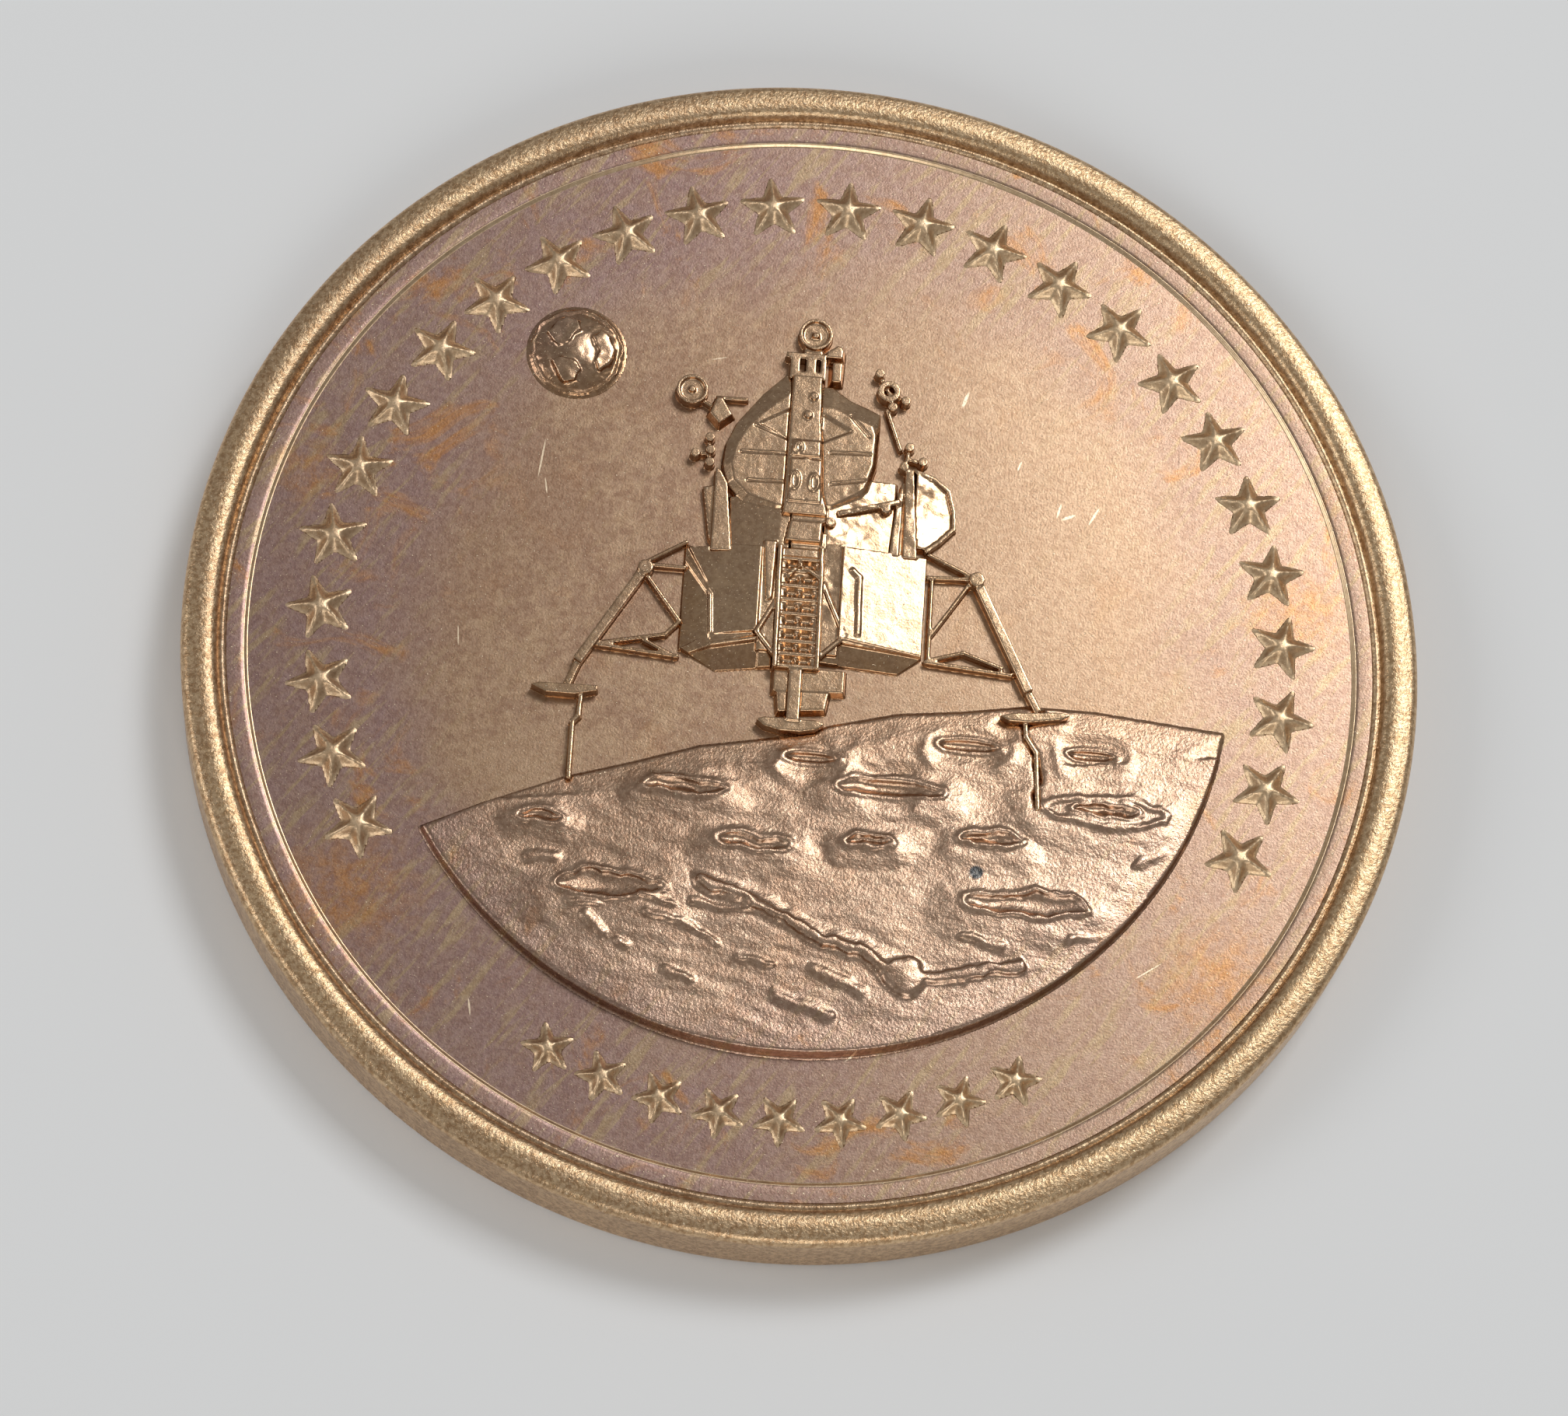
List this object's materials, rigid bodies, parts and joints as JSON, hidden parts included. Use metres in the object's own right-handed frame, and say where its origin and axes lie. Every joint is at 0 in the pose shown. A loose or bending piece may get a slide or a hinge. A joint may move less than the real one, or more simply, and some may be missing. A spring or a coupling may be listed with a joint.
{
  "type": "struck bronze commemorative medal with a lunar lander in relief",
  "caption": "Round struck bronze medal with a raised rim, a lunar lander over cratered ground in relief, a globe, arcs of stars and a wreath on the back.",
  "frame": {"origin": "centre of the underside, on the plane that the reverse rim rests on", "axes": "+Z out of the obverse along the medal's axis, +Y up the picture, +X to the picture's right"},
  "size_m": [0.0382, 0.038, 0.0028],
  "materials": {
    "rim_bronze": "satin, worn bright",
    "field_bronze": "satin, toned brown",
    "relief_bronze": "satin, high spots worn bright"
  },
  "bodies": {
    "root": {"aft_boom": "relief_bronze", "antenna_arm": "relief_bronze", "ascent_column": "relief_bronze", "cabin_left": "relief_bronze", "cabin_right": "relief_bronze", "column_head": "relief_bronze", "column_panels": "relief_bronze", "crater_rims": "relief_bronze", "date_star_row": "relief_bronze", "deflector_left": "relief_bronze", "deflector_right": "relief_bronze", "descent_centre": "relief_bronze", "descent_left_front": "relief_bronze", "descent_left_side": "relief_bronze", "descent_panel": "relief_bronze", "descent_rib": "relief_bronze", "descent_right_front": "relief_bronze", "descent_underside_left": "relief_bronze", "descent_underside_right": "relief_bronze", "distant_globe": "relief_bronze", "engine_bell": "relief_bronze", "footpad_left": "relief_bronze", "footpad_right": "relief_bronze", "front_footpad": "relief_bronze", "front_leg": "relief_bronze", "globe_lands": "relief_bronze", "ground_ridge": "relief_bronze", "ladder": "relief_bronze", "ladder_braces": "relief_bronze", "leg_left": "relief_bronze", "leg_right": "relief_bronze", "leg_truss_left": "relief_bronze", "leg_truss_right": "relief_bronze", "legend_star_arc": "relief_bronze", "masthead": "relief_bronze", "medal_flan": "field_bronze", "mid_body_left": "relief_bronze", "mid_body_right": "relief_bronze", "moon_ground": "relief_bronze", "obverse_border_line": "field_bronze", "obverse_ledge": "field_bronze", "obverse_rim": "rim_bronze", "outrigger_left": "relief_bronze", "outrigger_right": "relief_bronze", "porch": "relief_bronze", "probe_left": "relief_bronze", "probe_right": "relief_bronze", "radar_dish": "relief_bronze", "reverse_border_line": "field_bronze", "reverse_rim": "rim_bronze", "reverse_wreath": "relief_bronze", "steerable_antenna": "relief_bronze", "tank_bulge": "relief_bronze", "tank_edge": "relief_bronze", "thruster_left": "relief_bronze", "thruster_rear": "relief_bronze", "thruster_right": "relief_bronze"}
  },
  "joints": []
}
